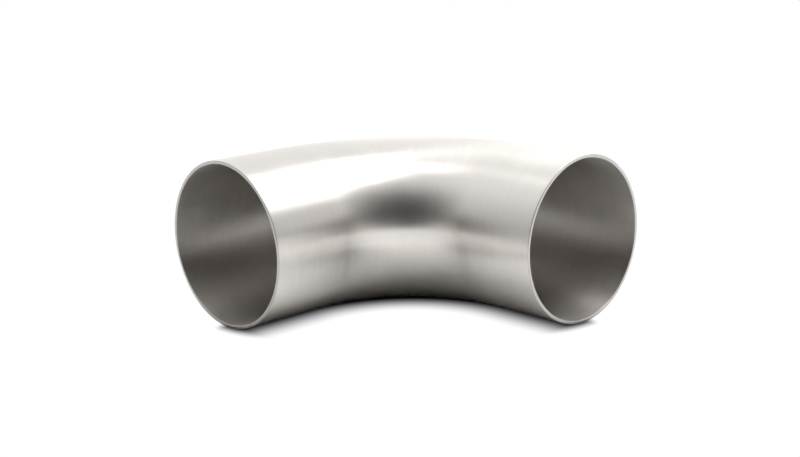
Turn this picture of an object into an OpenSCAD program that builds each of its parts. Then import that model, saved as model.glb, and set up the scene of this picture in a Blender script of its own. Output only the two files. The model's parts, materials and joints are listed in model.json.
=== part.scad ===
// Thin-walled stainless pipe elbow, 90 degrees, with a straight stretch at each end.
// It is pressed as two half shells that meet on the plane of the bend. One seam weld runs along
// the outside of the bend and one along the inside, and both are ground flush with the tube.
// The inlet's end face is centred on the origin and faces -Y. The outlet faces +X.
// Lengths are in millimetres.

/* [Tube] */
// Outside diameter of the tube
tube_od = 104; // [60:1:160]
// Thickness of the tube's wall
wall = 2; // [1:0.25:4]

/* [Bend] */
// Radius of the bend, measured to the tube's centre line
bend_r = 100; // [90:1:240]
// Length of the straight stretch at each end
straight_len = 54; // [10:1:200]

/* [Seam welds] */
// Width of each seam weld, measured round the outside of the tube
seam_w = 3.5; // [2:0.25:6]

/* [Finish] */
// Colour of the half shells
shell_color = "Silver"; // [Silver, LightGray, Gainsboro]
// Colour of the seam welds
weld_color = "DarkGray"; // [DarkGray, Gray, Silver]

/* [Hidden] */
$fn = 128;

bend_angle = 90;
outer_r = tube_od / 2;
inner_r = outer_r - wall;
// Half the angle that a seam weld takes up round the tube's axis
seam_half_angle = asin(seam_w / tube_od);
// The wedges that cut the ring into sectors reach this far past the tube
wedge_reach = tube_od;

// Part of the tube's cross-section, between two angles round its axis.
// Angle 0 points away from the centre of the bend, and 90 points up.
module wall_sector(from_angle, to_angle) {
    step = (to_angle - from_angle) / 4;
    intersection() {
        difference() {
            circle(r = outer_r);
            circle(r = inner_r);
        }
        polygon(concat([[0, 0]],
            [for (i = [0:4]) wedge_reach * [cos(from_angle + i * step), sin(from_angle + i * step)]]));
    }
}

// Carries a piece of the cross-section from the inlet's face, round the bend, to the outlet's face
module along_the_elbow() {
    rotate([90, 0, 180]) linear_extrude(straight_len) children();
    translate([bend_r, straight_len, 0])
        rotate([0, 0, 90]) rotate_extrude(angle = bend_angle) translate([bend_r, 0]) children();
    translate([bend_r, straight_len + bend_r, 0])
        rotate([90, 0, 90]) linear_extrude(straight_len) children();
}

module upper_half_shell() {
    color(shell_color) along_the_elbow() wall_sector(seam_half_angle, 180 - seam_half_angle);
}

module lower_half_shell() {
    color(shell_color) along_the_elbow() wall_sector(180 + seam_half_angle, 360 - seam_half_angle);
}

// The weld along the outside of the bend, through the whole wall
module outer_seam_weld() {
    color(weld_color) along_the_elbow() wall_sector(-seam_half_angle, seam_half_angle);
}

// The weld along the inside of the bend, through the whole wall
module inner_seam_weld() {
    color(weld_color) along_the_elbow() wall_sector(180 - seam_half_angle, 180 + seam_half_angle);
}

upper_half_shell();
lower_half_shell();
outer_seam_weld();
inner_seam_weld();
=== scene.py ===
import json
import math

import bmesh
import bpy
from mathutils import Matrix, Vector


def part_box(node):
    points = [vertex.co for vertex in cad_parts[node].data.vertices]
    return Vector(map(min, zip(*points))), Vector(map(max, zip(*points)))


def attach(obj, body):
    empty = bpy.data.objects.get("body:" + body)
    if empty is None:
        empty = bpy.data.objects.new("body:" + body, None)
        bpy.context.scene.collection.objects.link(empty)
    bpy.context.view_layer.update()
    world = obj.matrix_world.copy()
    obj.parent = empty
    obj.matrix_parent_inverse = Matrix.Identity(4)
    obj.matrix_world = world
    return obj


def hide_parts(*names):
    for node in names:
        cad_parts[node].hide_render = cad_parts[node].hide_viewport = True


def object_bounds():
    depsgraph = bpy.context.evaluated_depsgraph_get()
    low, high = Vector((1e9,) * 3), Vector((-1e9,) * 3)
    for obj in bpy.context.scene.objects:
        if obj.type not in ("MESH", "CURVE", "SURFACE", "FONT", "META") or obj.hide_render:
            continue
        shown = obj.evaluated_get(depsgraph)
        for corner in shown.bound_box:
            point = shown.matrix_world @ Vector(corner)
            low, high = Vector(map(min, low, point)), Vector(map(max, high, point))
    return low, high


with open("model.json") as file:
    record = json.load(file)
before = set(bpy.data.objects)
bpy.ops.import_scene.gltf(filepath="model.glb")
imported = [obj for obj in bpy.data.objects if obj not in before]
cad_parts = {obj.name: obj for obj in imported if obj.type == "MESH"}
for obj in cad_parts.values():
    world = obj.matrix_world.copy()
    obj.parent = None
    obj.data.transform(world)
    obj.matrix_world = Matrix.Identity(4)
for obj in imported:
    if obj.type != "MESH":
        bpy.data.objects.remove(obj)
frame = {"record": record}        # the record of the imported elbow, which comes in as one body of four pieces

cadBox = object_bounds()
scene = bpy.context.scene
scene.view_settings.view_transform = "Standard"

# the driving sizes, in metres, are read from the record's mounts
mmToM = 0.001
mounts = {mount["name"]: mount for mount in frame["record"]["mounts"]}
innerR = mounts["inlet_bore"]["dims"]["r_mm"] * mmToM
outerR = mounts["inlet_outside"]["dims"]["r_mm"] * mmToM
straightL = mounts["inlet_bore"]["dims"]["length_mm"] * mmToM
outletEnd = Vector(mounts["outlet_bore"]["pos_m"])
bendR = outletEnd.x - straightL
bendCentre = Vector((bendR, straightL, 0))
bendL = bendR * math.pi / 2              # the bend's share of the centre line
centreLineL = 2 * straightL + bendL
seamHalfAngle = math.asin(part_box("outer_seam_weld")[1].z / outerR)
closeEnough = mmToM / 100                # two lengths that differ by less count as the same
print("sizes: outside radius", outerR, "bend radius", bendR, "straight ends", straightL)


def newNode(tree, kind, values=None, **settings):
    # one shader node, with its settings and the values of its inputs; another node's output may feed an input
    node = tree.nodes.new(kind)
    for name, value in settings.items():
        setattr(node, name, value)
    for name, value in (values or {}).items():
        if isinstance(value, bpy.types.NodeSocket):
            tree.links.new(value, node.inputs[name])
        else:
            node.inputs[name].default_value = value
    return node


def calc(tree, operation, *terms):
    return newNode(tree, "ShaderNodeMath", dict(enumerate(terms)), operation=operation).outputs[0]


def vectorCalc(tree, operation, *terms):
    return newNode(tree, "ShaderNodeVectorMath", dict(enumerate(terms)), operation=operation).outputs


def split(tree, vector):
    return newNode(tree, "ShaderNodeSeparateXYZ", {"Vector": vector}).outputs


def join(tree, x, y, z):
    return newNode(tree, "ShaderNodeCombineXYZ", {"X": x, "Y": y, "Z": z}).outputs[0]


def noiseAt(tree, place, scale, detail, roughness=0.5):
    values = {"Vector": place, "Scale": scale, "Detail": detail, "Roughness": roughness}
    return newNode(tree, "ShaderNodeTexNoise", values).outputs["Fac"]


def ramped(tree, value, fromSpan, toSpan=(0, 1), curve="LINEAR"):
    # carries a value over from its place in one span to the same place in another
    values = {"Value": value, "From Min": fromSpan[0], "From Max": fromSpan[1],
              "To Min": toSpan[0], "To Max": toSpan[1]}
    return newNode(tree, "ShaderNodeMapRange", values, interpolation_type=curve).outputs[0]


def addUp(tree, start, weighted):
    # start plus each varying value times its own weight
    total = start
    for value, weight in weighted:
        total = calc(tree, "MULTIPLY_ADD", value, weight, total)
    return total


def newGroup(name, inputs, outputs):
    # an empty node group, with its own inputs as seen from inside and the sockets that its results go into
    group = bpy.data.node_groups.new(name, "ShaderNodeTree")
    for title, kind, value in inputs:
        socket = group.interface.new_socket(name=title, in_out="INPUT", socket_type="NodeSocket" + kind)
        if value is not None:
            socket.default_value = value
    for title in outputs:
        group.interface.new_socket(name=title, in_out="OUTPUT", socket_type="NodeSocketFloat")
    return group, newNode(group, "NodeGroupInput").outputs, newNode(group, "NodeGroupOutput").inputs


def grainGroup():
    # belt lines that run round the tube, packed along its length: a fine set and broader streaks
    group, given, put = newGroup("beltGrain", [
        ("Surface", "Vector", None), ("Line Width", "Float", 0.0003), ("Line Length", "Float", 0.02),
    ], ["Fine", "Streaks"])
    surface = split(group, given["Surface"])
    lineSets = {
        "Fine": {"wider": 1, "longer": 1, "detail": 2},
        "Streaks": {"wider": 9, "longer": 2.5, "detail": 3},
    }
    for title, lines in lineSets.items():
        lineWidth = calc(group, "MULTIPLY", given["Line Width"], lines["wider"])
        across = calc(group, "DIVIDE", surface["X"], lineWidth)
        lineLength = calc(group, "MULTIPLY", given["Line Length"], lines["longer"])
        alongLine = calc(group, "DIVIDE", surface["Y"], lineLength)
        spot = join(group, across, alongLine, lines["wider"])
        grain = noiseAt(group, spot, scale=1, detail=lines["detail"], roughness=0.6)
        group.links.new(grain, put[title])
    return group


def cloudGroup():
    # where the polishing pressed harder or lighter: broad clouds and smaller dapples
    group, given, put = newGroup("polishClouds", [
        ("Place", "Vector", None), ("Patch Size", "Float", 0.03),
    ], ["Clouds", "Dapples"])
    patchSets = {
        "Clouds": {"smaller": 1, "detail": 2},
        "Dapples": {"smaller": 5, "detail": 3},
    }
    for title, patches in patchSets.items():
        scale = calc(group, "DIVIDE", patches["smaller"], given["Patch Size"])
        group.links.new(noiseAt(group, given["Place"], scale=scale, detail=patches["detail"]), put[title])
    return group


def markGroup():
    # hairline scratches from handling, in two directions, only in patches
    group, given, put = newGroup("handlingMarks", [
        ("Surface", "Vector", None), ("Hair Width", "Float", 0.0004), ("Hair Length", "Float", 0.03),
    ], ["Marks"])
    directions = {"slanted": 0.35, "crossing": -1.1}         # radians from the belt lines
    hairSpan = (0.7, 0.78)               # only the noise's few highest crests are scratches
    patchScale = 30
    patchSpan = (0.45, 0.62)
    hairs = 0
    for turn in directions.values():
        turned = newNode(group, "ShaderNodeMapping", {"Vector": given["Surface"], "Rotation": (0, 0, turn)})
        surface = split(group, turned.outputs[0])
        across = calc(group, "DIVIDE", surface["X"], given["Hair Width"])
        alongHair = calc(group, "DIVIDE", surface["Y"], given["Hair Length"])
        spot = join(group, across, alongHair, turn * 10)     # a layer of the noise to itself
        hair = ramped(group, noiseAt(group, spot, scale=1, detail=0), hairSpan)
        hairs = calc(group, "MAXIMUM", hair, hairs)
    patch = ramped(group, noiseAt(group, given["Surface"], scale=patchScale, detail=1), patchSpan)
    group.links.new(calc(group, "MULTIPLY", hairs, patch), put["Marks"])
    return group


def rubGroup():
    # the last few millimetres before each end, rubbed by clamps and by the bench
    group, given, put = newGroup("endRub", [
        ("Surface", "Vector", None), ("Whole Length", "Float", 0.2), ("Reach", "Float", 0.004),
    ], ["Rub"])
    raggedScale = 160
    length = split(group, given["Surface"])["X"]
    fromEnd = calc(group, "MINIMUM", length, calc(group, "SUBTRACT", given["Whole Length"], length))
    ragged = noiseAt(group, given["Surface"], scale=raggedScale, detail=3)
    reach = calc(group, "MULTIPLY", given["Reach"], calc(group, "MULTIPLY", ragged, 2))
    group.links.new(ramped(group, fromEnd, (0, reach), (1, 0), curve="SMOOTHSTEP"), put["Rub"])
    return group


def rippleGroup():
    # the crescents that the weld pool leaves behind it, bowed across the seam
    group, given, put = newGroup("weldRipple", [
        ("Surface", "Vector", None), ("Pitch", "Float", 0.0014), ("Bow", "Float", 200),
    ], ["Ripple"])
    surface = split(group, given["Surface"])
    acrossSquared = calc(group, "MULTIPLY", surface["Y"], surface["Y"])
    bowed = calc(group, "MULTIPLY_ADD", acrossSquared, given["Bow"], surface["X"])
    perLength = calc(group, "DIVIDE", 2 * math.pi, given["Pitch"])
    group.links.new(calc(group, "SINE", calc(group, "MULTIPLY", bowed, perLength)), put["Ripple"])
    return group


effects = {
    "grain": grainGroup(),
    "clouds": cloudGroup(),
    "marks": markGroup(),
    "rub": rubGroup(),
    "ripple": rippleGroup(),
}
print("effects:", ", ".join(effects))


def steelFinish(name, finish):
    # bare stainless steel with each effect as strong as the finish says
    material = bpy.data.materials.new(name)
    material.use_nodes = True
    tree = material.node_tree
    shader = tree.nodes["Principled BSDF"]
    surface = newNode(tree, "ShaderNodeUVMap", uv_map="surface").outputs[0]
    place = newNode(tree, "ShaderNodeTexCoord").outputs["Object"]

    def effect(title, values):
        return newNode(tree, "ShaderNodeGroup", values, node_tree=effects[title]).outputs

    grain = effect("grain", {"Surface": surface, "Line Width": finish["lineWidth"],
                             "Line Length": finish["lineLength"]})
    clouds = effect("clouds", {"Place": place, "Patch Size": finish["patchSize"]})
    marks = effect("marks", {"Surface": surface})["Marks"]
    rub = effect("rub", {"Surface": surface, "Whole Length": centreLineL,
                         "Reach": finish["rubReach"]})["Rub"]

    # clouds and streaks swing round the middle of their noise, so half of each weight is taken off first
    swing = 0.5 * (finish["cloudTone"] + finish["streakTone"])
    tone = addUp(tree, 0.5 - swing, [(clouds["Clouds"], finish["cloudTone"]),
                                     (grain["Streaks"], finish["streakTone"])])
    steel = newNode(tree, "ShaderNodeMix", {"Factor": tone}, data_type="RGBA", clamp_factor=True)
    steel.inputs["A"].default_value = (*finish["darkSteel"], 1)
    steel.inputs["B"].default_value = (*finish["paleSteel"], 1)
    marked = calc(tree, "MULTIPLY", marks, finish["markTone"])
    worn = newNode(tree, "ShaderNodeMix", {"Factor": marked}, data_type="RGBA")
    tree.links.new(steel.outputs["Result"], worn.inputs["A"])
    worn.inputs["B"].default_value = (*finish["markSteel"], 1)
    tree.links.new(worn.outputs["Result"], shader.inputs["Base Color"])

    swing = 0.5 * (finish["cloudRough"] + finish["streakRough"])
    rough = addUp(tree, finish["roughness"] - swing, [
        (clouds["Clouds"], finish["cloudRough"]), (grain["Streaks"], finish["streakRough"]),
        (marks, finish["markRough"]), (rub, finish["rubRough"])])
    tree.links.new(rough, shader.inputs["Roughness"])

    heights = [(grain["Fine"], finish["lineHeight"]), (grain["Streaks"], finish["streakHeight"]),
               (clouds["Clouds"], finish["waveHeight"]), (clouds["Dapples"], finish["dappleHeight"]),
               (marks, -finish["markDepth"])]
    if "rippleHeight" in finish:
        ripple = effect("ripple", {"Surface": surface, "Pitch": finish["ripplePitch"],
                                   "Bow": finish["rippleBow"]})["Ripple"]
        heights.append((ripple, finish["rippleHeight"]))
    height = addUp(tree, 0, heights)
    relief = newNode(tree, "ShaderNodeBump", {"Height": height, "Distance": 1, "Strength": 1})
    tree.links.new(relief.outputs[0], shader.inputs["Normal"])

    shader.inputs["Metallic"].default_value = 1
    shader.inputs["Anisotropic"].default_value = finish["anisotropic"]
    tangent = newNode(tree, "ShaderNodeTangent", direction_type="UV_MAP", uv_map="surface")
    tree.links.new(tangent.outputs[0], shader.inputs["Tangent"])
    return material


# the outside; widths, lengths and heights are in metres
beltPolished = {
    "darkSteel": (0.579, 0.552, 0.52),
    "paleSteel": (0.682, 0.657, 0.627),
    "markSteel": (0.755, 0.735, 0.705),
    "cloudTone": 0.9,
    "streakTone": 0.7,
    "markTone": 0.25,
    "roughness": 0.33,
    "anisotropic": 0.83,            # the grain runs round the tube, so highlights stretch along it
    "cloudRough": 0.05,
    "streakRough": 0.06,
    "markRough": 0.08,
    "rubRough": 0.06,
    "rubReach": 0.003,
    "lineWidth": 0.0003,
    "lineLength": 0.02,
    "lineHeight": 0.0000012,
    "streakHeight": 0.000004,
    "patchSize": 0.028,
    "waveHeight": 0.00012,
    "dappleHeight": 0.000006,
    "markDepth": 0.000002,
}
# the bore, duller than the outside
millSatin = {
    **beltPolished,
    "darkSteel": (0.479, 0.452, 0.426),
    "paleSteel": (0.591, 0.562, 0.536),
    "roughness": 0.4,
    "anisotropic": 0.86,
    "cloudRough": 0.08,
    "streakRough": 0.03,
    "markTone": 0.15,
    "rubRough": 0.03,
    "waveHeight": 0.00016,
    "dappleHeight": 0.00001,
}
# both end faces: a turned finish, with their steel painted darker than the tube's as painted shade on the
# rims
turnedRimPaintedShade = {
    **beltPolished,
    "darkSteel": (0.34, 0.332, 0.318),
    "paleSteel": (0.45, 0.44, 0.425),
    "roughness": 0.3,
    "anisotropic": 0.6,
    "lineWidth": 0.0001,
    "lineLength": 0.05,
    "rubRough": 0,
    "waveHeight": 0,
    "patchSize": 0.01,
}
# the welds outside, ground with the tube, and in the bore, rolled flat
dressedWeld = {
    **beltPolished,
    "darkSteel": (0.563, 0.54, 0.511),
    "roughness": 0.345,
    "lineLength": 0.004,
    "streakRough": 0.09,
    "rippleHeight": 0.0000015,
    "ripplePitch": 0.0014,
    "rippleBow": 200,
}
flattenedRoot = {
    **millSatin,
    "roughness": 0.39,
    "lineLength": 0.004,
    "rippleHeight": 0.000004,
    "ripplePitch": 0.0012,
    "rippleBow": 260,
}
finishes = {title: steelFinish(title, finish) for title, finish in (
    ("beltPolished", beltPolished), ("millSatin", millSatin), ("turnedRimPaintedShade", turnedRimPaintedShade),
    ("dressedWeld", dressedWeld), ("flattenedRoot", flattenedRoot))}
print("finishes:", ", ".join(finishes))


def placeOnElbow(point):
    # length along the centre line from the inlet, angle round the tube (0 on the outside of the bend and a
    # quarter turn on top), and the straight line out to the point from the centre line
    if point.x >= bendR:
        length = straightL + bendL + point.x - bendR
        toOutside = Vector((0, 1, 0))
        middle = Vector((point.x, outletEnd.y, 0))
    elif point.y <= straightL:
        length = point.y
        toOutside = Vector((-1, 0, 0))
        middle = Vector((0, point.y, 0))
    else:
        toOutside = Vector((point.x - bendR, point.y - straightL, 0)).normalized()
        length = straightL + bendR * math.atan2(toOutside.y, -toOutside.x)
        middle = bendCentre + toOutside * bendR
    out = point - middle
    return length, math.atan2(out.z, out.dot(toOutside)), out


def sweepStraight(bm, faces, direction, steps):
    for _ in range(steps):
        grown = bmesh.ops.extrude_face_region(bm, geom=faces)["geom"]
        bmesh.ops.translate(bm, vec=direction * straightL / steps,
                            verts=[part for part in grown if isinstance(part, bmesh.types.BMVert)])
        faces = [part for part in grown if isinstance(part, bmesh.types.BMFace)]
    return faces


def rimEdges(bm):
    # the sharp rings of both ends, at the outside and at the bore
    rings = []
    for edge in bm.edges:
        lengths, _, outs = zip(*(placeOnElbow(vert.co) for vert in edge.verts))
        atEnd = max(lengths) < closeEnough or min(lengths) > centreLineL - closeEnough
        if atEnd and abs(outs[0].length - outs[1].length) < closeEnough:
            rings.append(edge)
    return rings


def wallPiece(name, shape, looks):
    # a slice of the tube wall between two angles, swept from the inlet's face round the bend to the outlet's;
    # its looks are for the outside, the bore and the rims
    fromAngle, toAngle = shape["angles"]
    bm = bmesh.new()
    across = Vector((-math.cos(fromAngle), 0, math.sin(fromAngle)))
    bm.edges.new([bm.verts.new(across * radius) for radius in (innerR, outerR)])
    bmesh.ops.spin(bm, geom=bm.verts[:] + bm.edges[:], cent=(0, 0, 0), axis=(0, 1, 0),
                   angle=toAngle - fromAngle, steps=shape["ringSteps"], use_merge=False)
    section = sweepStraight(bm, bm.faces[:], Vector((0, 1, 0)), shape["straightSteps"])
    turned = bmesh.ops.spin(bm, geom=section, cent=bendCentre, axis=(0, 0, -1),
                            angle=math.pi / 2, steps=shape["bendSteps"], use_merge=False)
    section = [part for part in turned["geom_last"] if isinstance(part, bmesh.types.BMFace)]
    sweepStraight(bm, section, Vector((1, 0, 0)), shape["straightSteps"])
    bmesh.ops.recalc_face_normals(bm, faces=bm.faces[:])
    bmesh.ops.bevel(bm, geom=rimEdges(bm), offset=shape["rimBreak"], offset_type="OFFSET", affect="EDGES",
                    segments=shape["rimSegments"], profile=0.5, material=-1)

    # unrolled map: U is the length along the tube and on over the rim, V the distance round it from the
    # slice's middle; the round walls keep their true shading up to the welds and rims, other faces their own
    middleAngle = (fromAngle + toAngle) / 2
    unrolled = bm.loops.layers.uv.new("surface")
    normals = []
    bm.faces.index_update()
    for face in bm.faces:
        length, _, out = placeOnElbow(face.calc_center_median())
        facing = face.normal.dot(out.normalized())           # 1 on the outside, -1 in the bore
        onRim = length < shape["rimBreak"] or length > centreLineL - shape["rimBreak"]
        isWall = not onRim and abs(facing) > 0.5
        face.material_index = 2 if onRim else 1 if isWall and facing < 0 else 0
        for corner in face.loops:
            length, angle, out = placeOnElbow(corner.vert.co)
            turn = math.remainder(angle - middleAngle, 2 * math.pi)
            corner[unrolled].uv = (length + out.length - outerR, turn * outerR)
            normals.append(out.normalized() * math.copysign(1, facing) if isWall else Vector((0, 0, 0)))

    mesh = bpy.data.meshes.new(name)
    bm.to_mesh(mesh)
    bm.free()
    for look in looks:
        mesh.materials.append(finishes[look])
    mesh.shade_smooth()
    mesh.set_sharp_from_angle(angle=math.radians(shape["sharpFrom"]))
    mesh.normals_split_custom_set(normals)
    piece = bpy.data.objects.new(name, mesh)
    scene.collection.objects.link(piece)
    print(name, len(mesh.polygons), "faces")
    return piece


# the two half shells, pressed from sheet
halfShell = {
    "ringSteps": 96,                # faces round each half
    "straightSteps": 14,
    "bendSteps": 96,
    "rimBreak": 0.0003,             # deburred corner of each end
    "rimSegments": 3,
    "sharpFrom": 40,                # degrees
}
upperShell = {**halfShell, "angles": (seamHalfAngle, math.pi - seamHalfAngle)}
upper = wallPiece("upperHalfShell", upperShell, ["beltPolished", "millSatin", "turnedRimPaintedShade"])
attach(upper, "root")
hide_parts("upper_half_shell")

lowerShell = {**halfShell, "angles": (math.pi + seamHalfAngle, 2 * math.pi - seamHalfAngle)}
lower = wallPiece("lowerHalfShell", lowerShell, ["beltPolished", "millSatin", "turnedRimPaintedShade"])
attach(lower, "root")
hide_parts("lower_half_shell")

# the welds between them, ground flush outside and rolled flat in the bore
seamWeld = {**halfShell, "ringSteps": 4}
outerWeld = {**seamWeld, "angles": (-seamHalfAngle, seamHalfAngle)}
outer = wallPiece("outerSeamWeld", outerWeld, ["dressedWeld", "flattenedRoot", "turnedRimPaintedShade"])
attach(outer, "root")
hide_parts("outer_seam_weld")

innerWeld = {**seamWeld, "angles": (math.pi - seamHalfAngle, math.pi + seamHalfAngle)}
inner = wallPiece("innerSeamWeld", innerWeld, ["dressedWeld", "flattenedRoot", "turnedRimPaintedShade"])
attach(inner, "root")
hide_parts("inner_seam_weld")
print("pieces: two half shells and two welds")

# the floor that the elbow lies on: the camera sees an evenly lit white sweep, and the steel reflects a floor
# lit by the studio; both have a soft contact shadow painted into their colour beside the line of contact,
# which clears again past its ends
studioFloor = {
    "half": 1.5,                    # half its side
    # painted contact shadow: darkest up to darkTo and clear from clearFrom, in metres from the line of
    # contact; level is the floor's brightness once clear
    "seen": {"darkTo": 0.008, "clearFrom": 0.04, "level": 1.02},
    "mirrored": {"darkTo": 0.0, "clearFrom": 0.052, "level": 0.97},
    "outsideQuicker": 3.4,          # how many times sooner it clears outside the bend than in the crook
    "endsEarly": 0.005,             # how far before each end it starts to clear
    "endsQuicker": 2.6,             # how many times sooner it clears past the ends than in the crook
}


# the distance from the line of contact, which sets how dark the painted contact shadow is
def fromContactLine(tree):
    # the line of contact is the centre line seen from above: both straights and the quarter turn between them
    place = newNode(tree, "ShaderNodeTexCoord").outputs["Object"]
    fromBend = vectorCalc(tree, "MULTIPLY_ADD", place, (-1, 1, 0), (bendR, -straightL, 0))["Vector"]
    around = vectorCalc(tree, "LENGTH", vectorCalc(tree, "MAXIMUM", fromBend, (0, 0, 0))["Vector"])["Value"]
    outside = calc(tree, "SUBTRACT", around, bendR)
    inCrook = calc(tree, "MULTIPLY", outside, -1)
    aside = calc(tree, "MAXIMUM", inCrook, calc(tree, "MULTIPLY", outside, studioFloor["outsideQuicker"]))
    lead = studioFloor["endsEarly"] - straightL
    pastEach = vectorCalc(tree, "MULTIPLY_ADD", fromBend, (-1, -1, 0), (lead, lead, 0))["Vector"]
    pastEach = split(tree, pastEach)
    past = calc(tree, "MAXIMUM", calc(tree, "MAXIMUM", pastEach["X"], pastEach["Y"]), 0)
    past = calc(tree, "MULTIPLY", past, studioFloor["endsQuicker"])
    return calc(tree, "SQRT", calc(tree, "MULTIPLY_ADD", past, past, calc(tree, "MULTIPLY", aside, aside)))


def forCameraOr(tree, others, forCamera):
    # one shader for what the camera sees straight on, another for everything else
    seen = newNode(tree, "ShaderNodeLightPath").outputs["Is Camera Ray"]
    return newNode(tree, "ShaderNodeMixShader", {"Fac": seen, 1: others, 2: forCamera}).outputs[0]


bm = bmesh.new()
bmesh.ops.create_grid(bm, x_segments=1, y_segments=1, size=studioFloor["half"])
bmesh.ops.translate(bm, vec=Vector((bendR, bendR, cadBox[0].z)), verts=bm.verts[:])
mesh = bpy.data.meshes.new("studioFloor")
bm.to_mesh(mesh)
bm.free()
material = bpy.data.materials.new("studioFloor")
material.use_nodes = True
floorTree = material.node_tree
floorTree.nodes.clear()
fromContact = fromContactLine(floorTree)
# the painted contact shadow, one for the floor seen straight on and one for the floor in reflections
paintedShadows = {}
for shade in ("seen", "mirrored"):
    span = studioFloor[shade]
    paintedShadows[shade] = ramped(floorTree, fromContact, (span["darkTo"], span["clearFrom"]), (0, span["level"]),
                          curve="SMOOTHSTEP")
# the white sweep and the lit floor both carry the painted contact shadow in their colour
sweep = newNode(floorTree, "ShaderNodeEmission", {"Color": paintedShadows["seen"]}).outputs[0]
lit = newNode(floorTree, "ShaderNodeBsdfDiffuse", {"Color": paintedShadows["mirrored"]}).outputs[0]
newNode(floorTree, "ShaderNodeOutputMaterial", {"Surface": forCameraOr(floorTree, lit, sweep)})
mesh.materials.append(material)
floor = bpy.data.objects.new("studioFloor", mesh)
scene.collection.objects.link(floor)
print("floor laid")


def towards(azimuth, elevation):
    # a direction from the elbow: azimuth 0 looks out along -Y and turns towards +X
    a, e = math.radians(azimuth), math.radians(elevation)
    return Vector((math.sin(a) * math.cos(e), -math.cos(a) * math.cos(e), math.sin(e)))


# soft lights over and round the elbow, each a panel that faces it, square unless it has a height of its own
softboxes = {
    "backPanel": {"azimuth": 166, "elevation": 54, "distance": 1.3, "size": 0.95, "radiance": 3.3},
    "sidePanel": {"azimuth": 125, "elevation": 68, "distance": 1.2, "size": 0.35, "radiance": 7.5},
    "crownPanel": {"azimuth": 302, "elevation": 74, "distance": 1.2, "size": 0.3, "radiance": 2.2},
    "lowCard": {"azimuth": 128, "elevation": 4, "distance": 0.9, "size": 0.65, "height": 0.17,
                "radiance": 0.6},
}
betweenEnds = Vector((outletEnd.x, outletEnd.y, 0)) / 2
for name, box in softboxes.items():
    direction = towards(box["azimuth"], box["elevation"])
    light = bpy.data.objects.new(name, bpy.data.lights.new(name, "AREA"))
    height = box.get("height", box["size"])
    light.data.shape = "RECTANGLE"
    light.data.size = box["size"]
    light.data.size_y = height
    light.data.energy = box["radiance"] * math.pi * box["size"] * height
    light.location = direction * box["distance"] + betweenEnds
    light.rotation_mode = "QUATERNION"
    light.rotation_quaternion = direction.to_track_quat("Z", "Y")
    light.visible_camera = False
    scene.collection.objects.link(light)

# the room round them: pale walls and a dark unlit end, which the crook reflects; angles are in degrees
room = {
    "darkAzimuth": 45,
    "sideSpread": 1.9,              # how many times wider than high the dark end is
    "darkRise": 18,                 # up to where its top starts to pale
    "footRise": 11,                 # below this it is narrowed, more and more towards the floor
    "footNarrow": 1.7,              # how many times narrower it is at the floor
    "levels": [(0, 0.06), (10, 0.07), (16, 0.09), (23, 0.15), (30, 0.32), (37, 0.62), (45, 0.96), (53, 1.18),
               (62, 1.28)],         # angle from its middle, brightness
    "rampSpan": 100,
    "brightest": 2,                 # a ramp's colours end at 1, so they are brightness over this
    "ceiling": {"from": 52, "to": 74, "level": 0.75},        # the dimmer part overhead
}


def roomBrightness(tree):
    # the wall's colour, by the angle away from the dark end, and how strong it is, by the height
    direction = newNode(tree, "ShaderNodeTexCoord").outputs["Generated"]
    turn = math.radians(90 - room["darkAzimuth"])
    turned = newNode(tree, "ShaderNodeMapping", {"Vector": direction, "Rotation": (0, 0, turn)}).outputs[0]
    parts = split(tree, turned)
    rise = calc(tree, "DEGREES", calc(tree, "ARCSINE", parts["Z"]))
    sideways = calc(tree, "DEGREES", calc(tree, "ARCTAN2", parts["Y"], parts["X"]))
    sideways = calc(tree, "DIVIDE", sideways, room["sideSpread"])
    narrowing = ramped(tree, rise, (room["footRise"], 0), (1, room["footNarrow"]))
    sideways = calc(tree, "MULTIPLY", sideways, narrowing)
    above = calc(tree, "MAXIMUM", calc(tree, "SUBTRACT", rise, room["darkRise"]), 0)
    squares = calc(tree, "MULTIPLY_ADD", sideways, sideways, calc(tree, "MULTIPLY", above, above))
    reach = calc(tree, "DIVIDE", calc(tree, "SQRT", squares), room["rampSpan"])
    ramp = newNode(tree, "ShaderNodeValToRGB", {"Fac": reach})
    ramp.color_ramp.interpolation = "EASE"
    stops = ramp.color_ramp.elements
    while len(stops) < len(room["levels"]):
        stops.new(0.5)
    for stop, (angle, level) in zip(stops, room["levels"]):
        stop.position = angle / room["rampSpan"]
        stop.color = (*[level / room["brightest"]] * 3, 1)
    ceiling = room["ceiling"]
    strengths = (room["brightest"], room["brightest"] * ceiling["level"])
    return ramp.outputs["Color"], ramped(tree, rise, (ceiling["from"], ceiling["to"]), strengths)


world = bpy.data.worlds.new("studioRoom")
scene.world = world
world.use_nodes = True
roomTree = world.node_tree
roomTree.nodes.clear()
colour, strength = roomBrightness(roomTree)
walls = newNode(roomTree, "ShaderNodeBackground", {"Color": colour, "Strength": strength}).outputs[0]
backdrop = newNode(roomTree, "ShaderNodeBackground", {"Color": (1, 1, 1, 1), "Strength": 1}).outputs[0]
newNode(roomTree, "ShaderNodeOutputWorld", {"Surface": forCameraOr(roomTree, walls, backdrop)})
print("studio lit")

view = {
    "azimuth": 46.38,
    "elevation": 13.61,
    "roll": -1.25,
    "distance": 0.8194,
    "side": -0.00154,               # the aim point, to the right of the bend's centre and above it
    "rise": 0.01675,
    "lens": 63.62,
    "sensor": 36.0,
}
bisector = Matrix.Rotation(math.radians(45), 3, "Z")     # halves the angle between the two ends
aim = bendCentre + bisector @ Vector((view["side"], 0, view["rise"]))
back = towards(view["azimuth"], view["elevation"])
camera = bpy.data.objects.new("camera", bpy.data.cameras.new("camera"))
camera.data.lens = view["lens"]
camera.data.sensor_width = view["sensor"]
camera.rotation_mode = "QUATERNION"
camera.location = aim + back * view["distance"]
facing = (-back).to_track_quat("-Z", "Y")
camera.rotation_quaternion = facing @ Matrix.Rotation(math.radians(view["roll"]), 3, "Z").to_quaternion()
scene.collection.objects.link(camera)
scene.camera = camera
print("camera placed")
